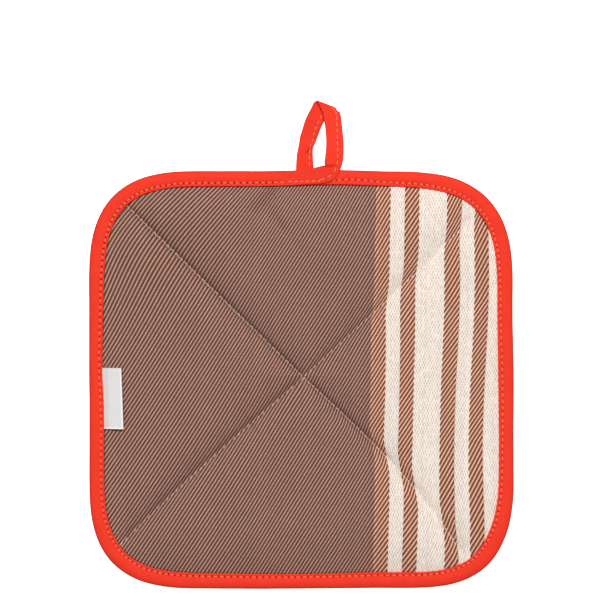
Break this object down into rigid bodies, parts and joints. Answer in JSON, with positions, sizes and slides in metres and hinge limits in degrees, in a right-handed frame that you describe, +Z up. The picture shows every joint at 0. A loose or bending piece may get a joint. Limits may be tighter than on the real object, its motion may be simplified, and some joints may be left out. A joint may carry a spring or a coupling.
{
  "type": "quilted pot holder",
  "caption": "Square quilted cloth pot holder with large round corners, crossing diagonal seams, a tape binding, a folded side label and a hanging loop.",
  "frame": {"origin": "under the middle of the whole object's box, loop included, on the surface that it lies on", "axes": "+Z up out of the face cloth, +Y from the pad towards the hanging loop, +X to the right seen from the face"},
  "size_m": [0.1996, 0.2296, 0.008],
  "materials": {
    "striped_twill": "matte cotton twill with woven stripes",
    "binding_tape": "matte plain-woven cotton tape",
    "label_ribbon": "smooth woven ribbon, blank"
  },
  "bodies": {
    "root": {"quilted_pad": "striped_twill", "binding": "binding_tape", "hanging_loop": "binding_tape", "side_label": "label_ribbon"}
  },
  "joints": []
}
